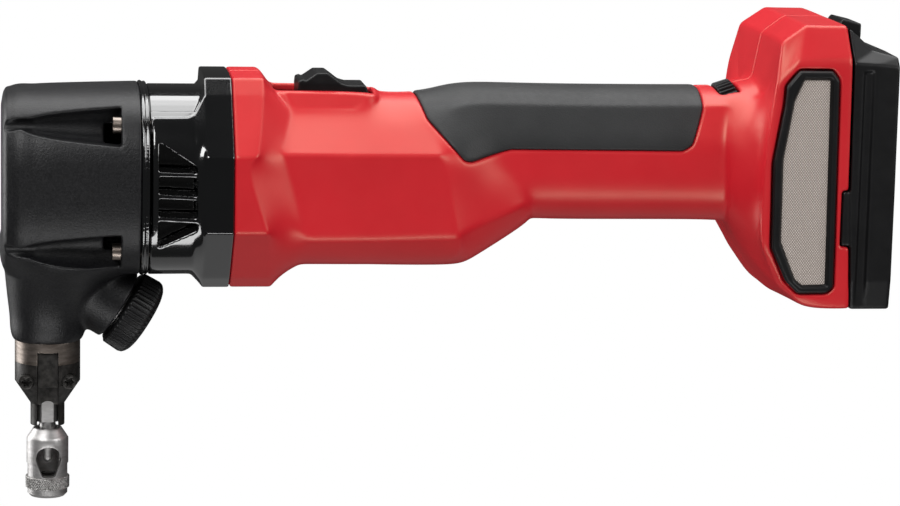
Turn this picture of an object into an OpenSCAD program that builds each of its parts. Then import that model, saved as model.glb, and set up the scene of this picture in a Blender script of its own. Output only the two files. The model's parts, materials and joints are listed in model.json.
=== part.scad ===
// Cordless nibbler without its battery, in millimetres.
// Origin: punch axis at the die's bottom face. +Z up, +X towards the battery end.

/* [Nose] */
// Outside diameter of the die barrel
die_d = 14.8; // [14.5:0.1:15.2]
// Bore in the top of the die that the punch runs in
die_bore_d = 8.1; // [7.9:0.1:8.3]
// Bore of the cutting ring under the sheet window
cut_bore_d = 4.6; // [4.2:0.1:4.8]
// Diameter of the punch tip
punch_tip_d = 3.4; // [3:0.1:3.8]
// Outside diameter of the carrier and the steel ring
carrier_d = 23; // [22.4:0.1:23.2]
// Travel of the ram from top to bottom
stroke = 6; // [5:0.5:6]

/* [Head and drive] */
// Height of the motor axis
motor_z = 114.6; // [114:0.1:115]
// Distance between the motor axis and the crank axis
gear_centres = 17.6; // [17.6:0.1:17.8]
// Half width of the gearbox head at its rear seam
head_half_w = 36; // [35:0.5:37]
// Half height of the gearbox head at its rear seam
head_half_h = 32.8; // [32:0.1:33.4]

/* [Housing] */
// Half width of the collar behind the fan housing
collar_half_w = 37.5; // [37:0.5:38]
// Half width of the motor bulge
bulge_half_w = 31; // [30.5:0.5:32]
// Half width of the barrel grip
grip_half_w = 23.5; // [23:0.5:24]
// Half width of the foot
foot_half_w = 40; // [39.5:0.5:40.5]
// Wall thickness of the moulded shells
wall = 2.5; // [2.2:0.1:2.8]
// Thickness of the soft grip pads
pad = 1.4; // [1:0.1:1.6]

/* [Battery interface] */
// Rear face of the battery rails
rail_x = 294.5; // [294:0.5:295]
// Half width of the channel between the rails
channel_half_w = 29; // [28:0.5:30]

/* [Controls] */
// Radius of the speed dial
dial_r = 17; // [16.5:0.1:17.4]
// Diameter of the clamp knob
knob_d = 29; // [28:0.5:29.5]

/* [Hidden] */
$fn = 48;
EPS = 0.01;
FIT = 0.05;
GAP = 0.3;
crank_z = motor_z - gear_centres;
throw_r = stroke / 2;
seam_x = 31.5;
shell_x = 63;
head_screw_y = 27.5;
head_screw_z = [92.7, 136.5];
knob_tilt = 122.2;
knob_at = [25.9, 0, 68.4];
sleeve_r = 9;
ram_r = 5.5;
bush_r = 7;
roller_r = 4;
gear_module = 0.8;
gear_teeth = 36;
pinion_teeth = 8;
stator_r = 25;
rotor_r = 13.5;
dial_at = [244.9, 0, 133.6];
dial_tilt = 72;
dial_w = 6.4;
foot_z = 73;
// x, z and the half width of the boss of each screw that joins the shells
shell_screws_at = [
    [70, 83.5, 18], [70, 146, 18], [148, 128.5, 20], [152, 101, 22],
    [231, 107, 17], [232.5, 141, 16], [262, 80.5, 37], [264, 166, 35]
];

// ---------- section rings ----------
// A half ring runs from the top centre down the +Y side to the bottom centre.
function half_ring(x, pts) = [for (p = pts) [x, p[0], p[1]]];
collar_half = [
    [0, 152.5], [17, 151.8], [22, 146.4], [collar_half_w, 127], [collar_half_w, 114],
    [collar_half_w, 100.5], [19, 82], [13, 77.4], [0, 77]
];
flange_half = [
    [0, motor_z + head_half_h], [15, motor_z + head_half_h - 0.7], [27.8, motor_z + 27],
    [head_half_w - 1, motor_z + 15.5], [head_half_w, motor_z], [head_half_w - 1, motor_z - 15.5],
    [27.8, motor_z - 27], [15, motor_z - head_half_h + 0.7], [0, motor_z - head_half_h]
];
grip_half = [
    [0, 147.9], [10, 146.6], [18, 142.6], [grip_half_w - 0.5, 132], [grip_half_w, 122],
    [grip_half_w - 1, 110.5], [15, 102.5], [7, 100.9], [0, 100.7]
];
foot_half = [
    [0, 173.4], [20, 173.4], [32, 173], [foot_half_w - 0.5, 161], [foot_half_w, 115],
    [foot_half_w, 80], [foot_half_w - 1.5, 74], [20, foot_z], [0, foot_z]
];
SHELL_RINGS = [
    half_ring(shell_x, collar_half),
    [[74.1, 0, 152.5], [74, 17, 151.8], [73.6, 22, 146.4], [71, collar_half_w, 127],
     [68.1, collar_half_w, 121], [74.9, collar_half_w, 100.5], [76.5, 19, 82], [77.7, 13, 77.4],
     [77.7, 0, 77]],
    [[78.6, 0, 147.4], [79.4, 13, 146.4], [84.2, 17, 139.5], [80.5, bulge_half_w, 127],
     [83.6, bulge_half_w, 117], [89, bulge_half_w, 97.6], [88.2, 21, 87.4], [87.6, 10, 85.8],
     [87.6, 0, 85.6]],
    [[112, 0, 147.2], [110.5, 13, 145.6], [106, 17, 139.5], [106, bulge_half_w, 126.8],
     [108, bulge_half_w, 117], [110, bulge_half_w, 97.6], [110, 21, 87.4], [110, 10, 85.8],
     [110, 0, 85.6]],
    [[115.5, 0, 145.2], [115, 10, 143.6], [113, 20, 136.8], [113, bulge_half_w, 126.8],
     [113, bulge_half_w, 117], [114, bulge_half_w, 97.6], [114, 21, 87.4], [114, 10, 85.8],
     [114, 0, 85.6]],
    [[128, 0, 145], [128, 10, 143.4], [131, 20, 136.8], [134.5, bulge_half_w, 126.8],
     [137, bulge_half_w, 117], [141, bulge_half_w, 98.5], [140, 21, 87.4], [139, 10, 85.8],
     [139, 0, 85.6]],
    [[137, 0, 146.6], [137, 10, 144.8], [139, 19, 140.5], [143.5, 28, 129],
     [147, 28.5, 118.5], [151, 27, 103], [150.5, 18.5, 90.6], [150, 9, 88.8], [150, 0, 88.6]],
    [[149, 0, 148.4], [149, 10, 146.8], [150, 18, 143], [153, 24, 132],
     [157, grip_half_w + 1, 121], [168, grip_half_w, 109.5], [169, 15, 101.3], [169, 7, 99.9],
     [169, 0, 99.7]],
    half_ring(177, grip_half),
    half_ring(229, grip_half),
    [[238.5, 0, 148.6], [238.5, 10, 147.2], [238.5, 18.5, 143], [237, 25, 132],
     [237, 26, 122], [238, 25, 109], [240, 16, 101.6], [241.3, 8, 99.6], [241.3, 0, 99.4]],
    [[250.5, 0, 151], [250.5, 12, 150], [250.5, 22, 147.5], [247.5, 31.5, 138],
     [245, 33.5, 122], [245, 32, 104], [246.5, 20, 91.5], [247, 9, 89.5], [247, 0, 89.3]],
    [[254, 0, 167.2], [254, 16, 167.2], [253.4, 33, 166.6], [250.8, foot_half_w - 1.8, 152],
     [247.8, foot_half_w - 1, 124], [247.6, foot_half_w - 1, 97], [254.5, foot_half_w - 5, 82],
     [256, 18, 77.2], [256, 0, 77]],
    [[262, 0, 173.4], [262, 20, 173.4], [262, 32, 173], [258, foot_half_w - 0.8, 160],
     [254, foot_half_w, 118], [254, foot_half_w, 92], [261, foot_half_w - 1.5, 76.5],
     [264, 20, foot_z + 0.4], [264, 0, foot_z + 0.4]],
    half_ring(268, foot_half),
    [[277, 0, 173.4], [277, 20, 173.4], [277, 32, 173], [277.6, foot_half_w - 0.5, 161],
     [278, foot_half_w, 115], [279.4, foot_half_w, 84], [280, foot_half_w - 1.5, 74],
     [280, 20, foot_z], [280, 0, foot_z]]
];
FAN_RINGS = [
    half_ring(34.5, flange_half), half_ring(49, flange_half),
    half_ring(53.6, collar_half), half_ring(shell_x, collar_half)
];

// A ring drawn in by t towards its own centre, and grown where t is negative.
function drawn_in(ring, t) =
    let (mid = (ring[0][2] + ring[8][2]) / 2, h = (ring[0][2] - ring[8][2]) / 2)
    let (w = max([for (p = ring) p[1]]))
    [for (p = ring) [p[0], p[1] * (1 - t / w), mid + (p[2] - mid) * (1 - t / h)]];
function unit(v) = v / max(norm(v), EPS);
// Outward normal at a ring point. It stays in the seam plane on the seam, and upright on the end rings.
function wall_normal(rings, r, c) =
    let (s = len(rings) - 1, n = len(rings[0]) - 1, p = rings[r][c])
    let (along = unit(rings[min(r + 1, s)][c] - p) + unit(p - rings[max(r - 1, 0)][c]))
    let (around = unit(rings[r][min(c + 1, n)] - p) + unit(p - rings[r][max(c - 1, 0)]))
    let (v = cross(along, around))
    unit([r == 0 || r == s ? 0 : v[0], c == 0 || c == n ? 0 : v[1], v[2]]);
function moved_in(rings, t) = [
    for (r = [0:len(rings) - 1]) [
        for (c = [0:len(rings[0]) - 1]) rings[r][c] - t * wall_normal(rings, r, c)
    ]
];
function whole_loop(ring) = concat(ring, [for (i = [7:-1:1]) [ring[i][0], -ring[i][1], ring[i][2]]]);

// Triangles of a grid of rows and columns, seen from one side or the other.
function grid_faces(rows, cols, first, flip, closed) = [
    for (r = [0:rows - 2], c = [0:cols - (closed ? 1 : 2)])
        let (a = first + r * cols + c, b = first + r * cols + (c + 1) % cols)
        each flip
            ? [[a, b + cols, b], [a, a + cols, b + cols]]
            : [[a, b, b + cols], [a, b + cols, a + cols]]
];
function strip_faces(outer, inner) = [
    for (i = [0:len(outer) - 2])
        each [[outer[i], inner[i + 1], outer[i + 1]], [outer[i], inner[i], inner[i + 1]]]
];
function span(from, step, n) = [for (i = [0:n - 1]) from + i * step];
function flipped(list) = [for (f = list) [f[0], f[2], f[1]]];
function flat(lists) = [for (l = lists) each l];

// The wall on the +Y side from outer_t to inner_t under the surface through the rings.
module half_wall(rings, outer_t, inner_t) {
    n = len(rings[0]);
    s = len(rings);
    outer = flat(moved_in(rings, outer_t));
    inner = flat(moved_in(rings, inner_t));
    first = s * n;
    polyhedron(
        points = concat(outer, inner),
        faces = concat(
            grid_faces(s, n, 0, false, false),
            grid_faces(s, n, first, true, false),
            strip_faces(span(0, 1, n), span(first, 1, n)),
            flipped(strip_faces(span((s - 1) * n, 1, n), span(first + (s - 1) * n, 1, n))),
            flipped(strip_faces(span(0, n, s), span(first, n, s))),
            strip_faces(span(n - 1, n, s), span(first + n - 1, n, s))
        )
    );
}

// A closed solid through whole loops of points, with flat ends.
module solid_loft(loops) {
    n = len(loops[0]);
    s = len(loops);
    polyhedron(
        points = flat(loops),
        faces = concat(
            grid_faces(s, n, 0, false, true),
            [span(n - 1, -1, n)],
            [span((s - 1) * n, 1, n)]
        )
    );
}

// ---------- common helpers ----------
module along_x(x0, length, r, y = 0, z = 0, r2 = undef) {
    translate([x0, y, z]) rotate([0, 90, 0])
        cylinder(h = length, r1 = r, r2 = is_undef(r2) ? r : r2);
}
module along_y(y0, length, r, x = 0, z = 0) {
    translate([x, y0, z]) rotate([-90, 0, 0]) cylinder(h = length, r = r);
}
module tube_x(x0, length, r_out, r_in, y = 0, z = 0) {
    difference() {
        along_x(x0, length, r_out, y, z);
        along_x(x0 - 1, length + 2, r_in, y, z);
    }
}
module block(low, high) {
    translate(low) cube(high - low);
}
module on_knob_axis(offset) {
    translate(knob_at) rotate([0, knob_tilt, 0]) translate([0, 0, offset]) children();
}
module side_outline(points, y0, y1) {
    translate([0, y1, 0]) rotate([90, 0, 0]) linear_extrude(y1 - y0) polygon(points);
}
module mirrored_y() {
    children();
    mirror([0, 1, 0]) children();
}
module lobed_socket(r, depth) {
    cylinder(h = depth, r = r * 0.72);
    for (a = [0:60:300]) rotate(a) translate([r * 0.78, 0, 0]) cylinder(h = depth, r = r * 0.24);
}

// ---------- die and nose ----------
window_low = 7.6;
window_high = 18.8;
module window_rod(r, x, z) {
    translate([x, 0, z]) rotate([90, 0, 0]) cylinder(h = 15, r = r, $fn = 32);
}
module egg_window(r_top, r_low) {
    hull() {
        window_rod(r_top, 0.3, window_high - r_top);
        for (side = [-1, 1]) window_rod(r_low, 0.3 + 1.4 * side, window_low + r_low);
    }
}
module die_body() color("lightgray") {
    difference() {
        union() {
            cylinder(h = 20.9, d = die_d - 0.7);
            translate([0, 0, 12]) cylinder(h = 8.9, d = die_d);
            translate([0, 0, 20.9]) cylinder(h = 3.7, d1 = die_d, d2 = 10);
            block([-3, 4.6, 14], [3, 6.6, 24.7]);
            block([-2.9, 4.6, 24.6], [2.9, 6.4, 40]);
        }
        translate([0, 0, 7]) cylinder(h = 30, d = die_bore_d);
        translate([0, 0, -1]) cylinder(h = 9, d = 9);
        egg_window(4.5, 1.2);
        translate([0, 0, -EPS]) difference() {
            cylinder(h = 1, r = 9);
            translate([0, 0, -EPS]) cylinder(h = 1 + 3 * EPS, d1 = die_d - 2.6, d2 = die_d - 0.7);
        }
    }
}
module die_insert() color("dimgray") {
    difference() {
        cylinder(h = 7.4, d = 9);
        translate([0, 0, -1]) cylinder(h = 10, d = cut_bore_d);
    }
}
module die_collar() color("gray") {
    difference() {
        translate([0, 0, 2.9]) cylinder(h = 4.3, d = 15.6);
        translate([0, 0, 2]) cylinder(h = 6, d = die_d - 0.7);
    }
}
punch_rest = 12;
ram_low = 59.4;
module punch() color("silver") {
    translate([0, 0, punch_rest + punch_tip_d / 2]) sphere(d = punch_tip_d);
    translate([0, 0, punch_rest + punch_tip_d / 2]) cylinder(h = 9, d = punch_tip_d);
    translate([0, 0, 20]) cylinder(h = 7.2, r = 2.7);
    intersection() {
        translate([0, 0, 27]) cylinder(h = 23.5, r = 3.9);
        block([-3.6, -3.3, 26], [3.6, 3.3, 51]);
    }
    translate([0, 0, 50]) cylinder(h = 12.9, r = 2.1);
    translate([0, 0, ram_low + 3.4]) cylinder(h = 3, r = 3.4);
}
module punch_guide() color("dimgray") {
    difference() {
        block([-3.55, -9.6, 41], [3.55, -3.6, 53]);
        translate([0, 0, 40]) cylinder(h = 14, r = 4.2);
    }
}
module guide_clip() color("darkslategray") {
    difference() {
        block([-3.6, -6.6, 34.2], [3.6, -3.6, 40.9]);
        translate([0, 0, 33]) cylinder(h = 9, r = 4.2);
        translate([0, -5, 32.4]) rotate([90, 0, 0]) cylinder(h = 6, r = 3, center = true);
    }
}
module die_carrier() color("black") {
    difference() {
        union() {
            translate([0, 0, 26]) cylinder(h = 9, d = 12);
            translate([0, 0, 33.7]) cylinder(h = 8.3, d1 = 12, d2 = carrier_d);
            translate([0, 0, 42]) cylinder(h = 7, d = carrier_d);
        }
        translate([0, 0, 20]) cylinder(h = 40, r = 4.2);
        block([-3.7, -20, 20], [3.7, 0, 60]);
        block([-3, 0, 20], [3, 6.5, 40.1]);
        for (x = [-7.5, 7.5]) {
            along_y(-13, 6.2, 2.75, x, 43);
            along_y(-8, 12, 1.5, x, 43);
        }
    }
}
module carrier_screws() color("black") {
    for (x = [-7.5, 7.5]) difference() {
        union() {
            along_y(-9.6, 2.8, 2.6, x, 43);
            along_y(-7, 10, 1.5, x, 43);
        }
        translate([x, -9.7, 43]) rotate([-90, 0, 0]) lobed_socket(1.7, 1.8);
    }
}
module carrier_ring() color("tan") {
    difference() {
        translate([0, 0, 49]) cylinder(h = 7.8, d = carrier_d);
        translate([0, 0, 48]) cylinder(h = 10, r = sleeve_r);
        block([-3.7, -20, 48], [3.7, -5, 53.6]);
    }
}
module carrier_sleeve() color("silver") {
    difference() {
        translate([0, 0, 49]) cylinder(h = 31, r = sleeve_r);
        translate([0, 0, 48]) cylinder(h = 33, r = bush_r);
        block([-3.7, -20, 48], [3.7, -2, 53.6]);
        translate([0, 0, 74.5]) difference() {
            cylinder(h = 4, r = sleeve_r + 1);
            translate([0, 0, -1]) cylinder(h = 6, r = sleeve_r - 0.8);
        }
    }
}
module ram_bushing() color("peru") {
    difference() {
        translate([0, 0, 62]) cylinder(h = 17, r = bush_r);
        translate([0, 0, 61]) cylinder(h = 19, r = ram_r + FIT);
    }
}

// ---------- ram and crank ----------
yoke_z = crank_z + throw_r;
window_half = roller_r + stroke + GAP;
bar = 3.2;
module ram() color("silver") {
    difference() {
        union() {
            translate([0, 0, ram_low]) cylinder(h = yoke_z - window_half - ram_low, r = ram_r);
            block([-5, -11.4, yoke_z - window_half - bar], [5, 11.4, yoke_z + window_half + bar]);
        }
        block([-6, -roller_r - throw_r - GAP, yoke_z - window_half],
              [6, roller_r + throw_r + GAP, yoke_z + window_half]);
        translate([0, 0, ram_low]) {
            translate([0, 0, 3.1]) cylinder(h = 3.7, r = 3.7);
            block([-3.7, -9, 3.1], [3.7, 0, 6.8]);
            translate([0, 0, -1]) cylinder(h = 5, r = 2.4);
            block([-2.4, -9, -1], [2.4, 0, 4]);
        }
    }
}
module crank_shaft() color("silver") {
    along_x(-5, 11, 2.5, 0, yoke_z);
    along_x(5.6, 3.6, 8.5, 0, crank_z);
    along_x(9.2, 10.3, 6, 0, crank_z);
    along_x(19, 8.6, 5, 0, crank_z);
    along_x(27.5, 6.9, 4, 0, crank_z);
}
module crank_roller() color("gray") {
    tube_x(-4.8, 9.6, roller_r, 2.5, 0, yoke_z);
}
// Spur gear outline with straight flanks and plenty of backlash.
module gear_outline(teeth, backlash) {
    pitch = gear_module * teeth / 2;
    root = pitch - 1.25 * gear_module;
    tip = pitch + 0.9 * gear_module;
    step = 360 / teeth;
    circle(r = root);
    for (i = [0:teeth - 1]) rotate(i * step)
        polygon([
            [root - 0.4, -gear_module * 0.95], [tip, -gear_module * 0.34 + backlash],
            [tip, gear_module * 0.34 - backlash], [root - 0.4, gear_module * 0.95]
        ]);
}
module crank_gear() color("dimgray") {
    difference() {
        translate([19.7, 0, crank_z]) rotate([0, 90, 0]) linear_extrude(7.2) gear_outline(gear_teeth, 0.05);
        along_x(19, 9, 5, 0, crank_z);
        for (a = [30:60:330]) translate([0, 9.6 * cos(a), crank_z + 9.6 * sin(a)]) along_x(19, 9, 2);
    }
}
module bearing(x0, width, r_out, r_in, z) {
    rim = (r_out - r_in) * 0.28;
    mid = (r_out + r_in) / 2;
    tube_x(x0, width, r_out, r_out - rim, 0, z);
    tube_x(x0, width, r_in + rim, r_in + FIT, 0, z);
    tube_x(x0 + 0.6, width - 1.2, r_out - rim, r_in + rim, 0, z);
    difference() {
        tube_x(x0 + 0.3, width - 0.6, mid + 0.5, mid - 0.5, 0, z);
        along_x(x0 + 0.6, width - 1.2, mid + 0.6, 0, z);
    }
}
module crank_bearing_front() color("silver") bearing(10.5, 8, 14, 6, crank_z);
module crank_bearing_rear() color("silver") bearing(28, 6.5, 11, 4, crank_z);
module motor_bearing_front() color("silver") bearing(37, 6.5, 11, 4, motor_z);
module motor_bearing_rear() color("silver") bearing(121.5, 6, 9.5, 3, motor_z);
module bearing_plate() color("black") {
    difference() {
        union() {
            along_x(31.6, 4.9, 30.6, 0, motor_z);
            along_x(27.8, 8, 13, 0, crank_z);
            along_x(36, 8, 20, 0, motor_z);
        }
        along_x(27, 7.5, 11, 0, crank_z);
        along_x(36.9, 8, 11, 0, motor_z);
        along_x(20, 30, 4.4, 0, motor_z);
    }
}

// ---------- motor ----------
module motor_shaft() color("silver") {
    translate([19.6, 0, motor_z]) rotate([0, 90, 0]) linear_extrude(8.2)
        rotate(180 / pinion_teeth) gear_outline(pinion_teeth, 0.05);
    along_x(27.7, 93.8, 4, 0, motor_z);
    along_x(121.4, 6, 3, 0, motor_z);
}
module rotor_core() color("dimgray") {
    difference() {
        along_x(73, 40, rotor_r, 0, motor_z);
        along_x(72, 42, 4, 0, motor_z);
        for (a = [0:60:300]) translate([0, 10 * cos(a), motor_z + 10 * sin(a)]) along_x(72, 42, 1.2);
    }
}
module cooling_fan() color("black") {
    difference() {
        union() {
            along_x(47, 12, 7, 0, motor_z);
            along_x(57.4, 1.6, 24, 0, motor_z);
            for (a = [0:40:320]) translate([49, 0, motor_z]) rotate([a, 0, 0])
                block([0, -0.8, 5], [9, 0.8, 23]);
        }
        along_x(46, 14, 4, 0, motor_z);
    }
}
module stator_core() color("gray") {
    translate([73, 0, motor_z]) rotate([0, 90, 0]) linear_extrude(40) difference() {
        circle(r = stator_r);
        circle(r = rotor_r + 0.6);
        for (a = [30:60:330]) rotate(a) difference() {
            intersection() {
                difference() {
                    circle(r = stator_r - 3.5);
                    circle(r = rotor_r + 2.4);
                }
                polygon([[0, 0], [40, -20.5], [40, 20.5]]);
            }
        }
    }
}
module stator_winding() color("peru") {
    translate([70.5, 0, motor_z]) rotate([0, 90, 0]) linear_extrude(45)
        for (a = [30:60:330]) rotate(a) intersection() {
            difference() {
                circle(r = stator_r - 3.8);
                circle(r = rotor_r + 2.7);
            }
            polygon([[1, 0], [40, -18.6], [40, 18.6]]);
        }
}
module motor_end_cap() color("black") {
    difference() {
        union() {
            along_x(118, 3, 24.5, 0, motor_z);
            along_x(120.9, 8, 12, 0, motor_z);
        }
        along_x(121.5, 9, 9.5, 0, motor_z);
        along_x(117, 6, 4.4, 0, motor_z);
        for (a = [0:60:300]) translate([0, 17.5 * cos(a), motor_z + 17.5 * sin(a)]) along_x(117, 5, 4);
    }
}

// ---------- gearbox head ----------
// Half of a superellipse of half width w and half height h, top to bottom.
function squircle(w, h, n, steps) = [
    for (i = [0:steps - 1]) let (a = 360 * i / steps)
        [w * sign(sin(a)) * pow(abs(sin(a)), 2 / n), h * sign(cos(a)) * pow(abs(cos(a)), 2 / n)]
];
// x, half width, bottom, top
head_stations = [
    [-16, 25, 90, 139.5], [-15.2, 29, 86, 143.6], [-12.8, 32, 84, 145.5], [-4, 34, 83, 146.3],
    [12, 35.2, 82.4, 146.9], [seam_x, head_half_w, motor_z - head_half_h, motor_z + head_half_h]
];
// z, front, rear, half width
nose_stations = [
    [57, -11.8, 11.8, 11.8], [58.6, -12.5, 12.6, 12.5], [66, -13.2, 14.2, 14.4],
    [73, -14, 17.5, 18], [80, -14.7, 23, 23.5], [86, -15.2, 28, 29], [92, -15.4, 30, 32]
];
module head_form() {
    solid_loft([for (s = head_stations)
        [for (p = squircle(s[1], (s[3] - s[2]) / 2, 2.9, 28)) [s[0], p[0], (s[2] + s[3]) / 2 + p[1]]]]);
    solid_loft([for (s = nose_stations)
        [for (p = squircle((s[2] - s[1]) / 2, s[3], 2.1, 28)) [(s[1] + s[2]) / 2 + p[0], p[1], s[0]]]]);
    on_knob_axis(-26) cylinder(h = 25, r = 13.1);
}
module head_flute(z) {
    translate([24.6, 28.6, z]) rotate([0, -90, -7.5]) cylinder(h = 37, r1 = 6.3, r2 = 0.6);
    translate([24.6, 28.6, z]) rotate([0, -90, 0]) cylinder(h = 5, r = 5);
    block([12, 28, z - 5.6], [24.6, 42, z + 5.6]);
}
module head_housing() color([0.13, 0.13, 0.14]) {
    difference() {
        head_form();
        block([-11, -24, 88], [8.5, 24, 139]);
        block([19, -22, 88], [seam_x + 1, 22, 139]);
        along_x(19, 20, 30.7, 0, motor_z);
        along_x(18.6, 14, 16.2, 0, crank_z);
        along_x(10.5, 9, 14, 0, crank_z);
        along_x(5, 10, 9.6, 0, crank_z);
        translate([0, 0, 50]) cylinder(h = 30.2, r = sleeve_r + FIT);
        block([-6.6, -13, 80.1], [6.6, 13, 90]);
        on_knob_axis(-30) cylinder(h = 32, r = 3.6);
        mirrored_y() for (z = head_screw_z) {
            head_flute(z);
            along_x(20, 20, 2.2, head_screw_y, z);
        }
    }
}
module head_screws() color("gray") {
    mirrored_y() for (z = head_screw_z) difference() {
        union() {
            along_x(21.8, 2.8, 2.9, head_screw_y, z);
            along_x(24.5, 22, 1.95, head_screw_y, z);
        }
        translate([21.7, head_screw_y, z]) rotate([0, 90, 0]) cylinder(h = 1.9, r = 1.6, $fn = 6);
    }
}
module seal_ring(grow) {
    translate([seam_x, 0, motor_z]) rotate([0, 90, 0]) rotate(90) linear_extrude(3)
        polygon([for (p = squircle(head_half_w + grow, head_half_h + grow, 2.9, 28)) p]);
}
module head_seal() color("black") {
    difference() {
        seal_ring(0.5);
        along_x(seam_x - 2, 9, 30.7, 0, motor_z);
        mirrored_y() for (z = head_screw_z) along_x(30, 6, 2.2, head_screw_y, z);
    }
}

// ---------- clamp knob ----------
module clamp_knob() color([0.1, 0.1, 0.1]) {
    difference() {
        on_knob_axis(0) union() {
            cylinder(h = 8.5, d = knob_d - 1.2);
            translate([0, 0, 8.5]) cylinder(h = 1.9, d1 = knob_d - 1.6, d2 = knob_d - 14);
            for (a = [0:7.5:352.5]) rotate(a) translate([knob_d / 2 - 0.7, 0, 0.4]) cylinder(h = 8, r = 0.6);
        }
        on_knob_axis(-1) cylinder(h = 7, r = 3.2);
    }
}
module clamp_screw() color("silver") on_knob_axis(-17.6) {
    cylinder(h = 23.6, r = 3.2);
}
module clamp_washer() color("silver") on_knob_axis(-0.95) difference() {
    cylinder(h = 0.9, r = 9);
    translate([0, 0, -1]) cylinder(h = 3, r = 3.3);
}

// ---------- fan housing ----------
vent_outline = [
    [[37.4, 131.6], [50.4, 123.1], [50.4, 121.2], [37.4, 121.6]],
    [[37.4, 119.8], [50.4, 119.6], [50.4, 113.2], [37.4, 114.0]],
    [[37.4, 112.2], [50.4, 111.6], [50.4, 105.6], [37.4, 106.0]],
    [[37.4, 104.4], [50.4, 103.6], [50.4, 101.4], [37.4, 95.1]]
];
module fan_housing() color("black") {
    difference() {
        union() {
            difference() {
                solid_loft([for (r = FAN_RINGS) whole_loop(r)]);
                solid_loft([for (r = FAN_RINGS) whole_loop(drawn_in(
                    [for (p = r) [p[0] + (p[0] < 40 ? -1 : (p[0] > 60 ? 1 : 0)), p[1], p[2]]], 3))]);
            }
            mirrored_y() for (z = head_screw_z) intersection() {
                along_x(34.5, 15, 5, head_screw_y, z);
                solid_loft([for (r = FAN_RINGS) whole_loop(drawn_in(r, 0.4))]);
            }
        }
        along_x(34, 2.6, 30.7, 0, motor_z);
        mirrored_y() for (z = head_screw_z) along_x(34, 14, 2, head_screw_y, z);
        for (v = vent_outline) side_outline(v, -45, 45);
    }
}

// ---------- red shells and grip pads ----------
pad_outline = [
    [127.6, 153], [128.6, 145.4], [131.5, 137.5], [143.5, 124.4], [146.2, 124], [160, 127.9],
    [222, 127.4], [225.2, 129.4], [229.6, 142], [231, 153]
];
frame_outline = [
    [258.6, 158.4], [270.6, 158.4], [273.2, 155], [274, 81.6], [271.4, 79.3], [260.9, 79.3],
    [256.4, 83.8], [250.8, 95.8], [250.4, 125.7], [253.8, 146.3], [254.2, 153]
];
mesh_outline = [
    [260.6, 154.9], [269.8, 154.9], [270.8, 82.6], [262.5, 82.4], [259.9, 84.6], [254.4, 97.9],
    [254.1, 126.8], [257.4, 147.6]
];
notch_outline = [[275.6, 96], [281, 96], [281, 116], [275.6, 116]];
module pad_zone(y0, y1) side_outline(pad_outline, y0, y1);
module screw_boss(s, r) {
    along_y(0.02, s[2], r, s[0], s[1]);
}
module shell_half(far) {
    difference() {
        union() {
            half_wall(SHELL_RINGS, 0, wall);
            for (s = shell_screws_at) screw_boss(s, 4.2);
        }
        intersection() {
            half_wall(SHELL_RINGS, -3, pad);
            pad_zone(-1, 45);
        }
        block([78.5, -1, 135], [113.2, 9.4, 160]);
        translate(dial_at) rotate([0, dial_tilt, 0])
            cylinder(h = dial_w + 1, r = dial_r + 0.6, center = true);
        side_outline([for (p = frame_outline) [p[0] + sign(p[0] - 262) * 0.2, p[1] + sign(p[1] - 118) * 0.2]],
                     30, 45);
        side_outline(notch_outline, 20, 45);
        for (s = shell_screws_at) {
            along_y(-1, s[2] + 1 - (far ? 0 : 4), far ? 2.2 : 1.9, s[0], s[1]);
            if (far) along_y(s[2] - 4, 30, 3.9, s[0], s[1]);
        }
    }
}
module shell_far() color([0.78, 0.12, 0.16]) shell_half(true);
module shell_near() color([0.78, 0.12, 0.16]) mirror([0, 1, 0]) shell_half(false);
module shell_screws() color("dimgray") {
    for (s = shell_screws_at) difference() {
        union() {
            along_y(s[2] - 4, 2.6, 3.6, s[0], s[1]);
            along_y(-(s[2] - 5), 2 * s[2] - 8, 1.85, s[0], s[1]);
        }
        translate([s[0], s[2] - 1.3, s[1]]) rotate([90, 0, 0]) lobed_socket(2.1, 1.8);
    }
}
module grip_pad_half() {
    intersection() {
        half_wall(SHELL_RINGS, -0.25, pad);
        pad_zone(0.02, 45);
    }
}
module grip_pad_far() color([0.27, 0.28, 0.29]) grip_pad_half();
module grip_pad_near() color([0.27, 0.28, 0.29]) mirror([0, 1, 0]) grip_pad_half();

// ---------- filters ----------
module filter_frame_half() {
    difference() {
        side_outline(frame_outline, 35.6, foot_half_w + 1);
        side_outline(mesh_outline, 30, 50);
        difference() {
            side_outline(frame_outline, 35, 38.4);
            side_outline([for (p = mesh_outline)
                [p[0] + sign(p[0] - 262) * 1.6, p[1] + sign(p[1] - 118) * 1.6]], 34, 39);
        }
    }
}
module filter_mesh_half() side_outline(mesh_outline, 38.6, 39.4);
module filter_frame_far() color([0.1, 0.1, 0.1]) filter_frame_half();
module filter_frame_near() color([0.1, 0.1, 0.1]) mirror([0, 1, 0]) filter_frame_half();
module filter_mesh_far() color([0.7, 0.65, 0.6]) filter_mesh_half();
module filter_mesh_near() color([0.7, 0.65, 0.6]) mirror([0, 1, 0]) filter_mesh_half();

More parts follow.
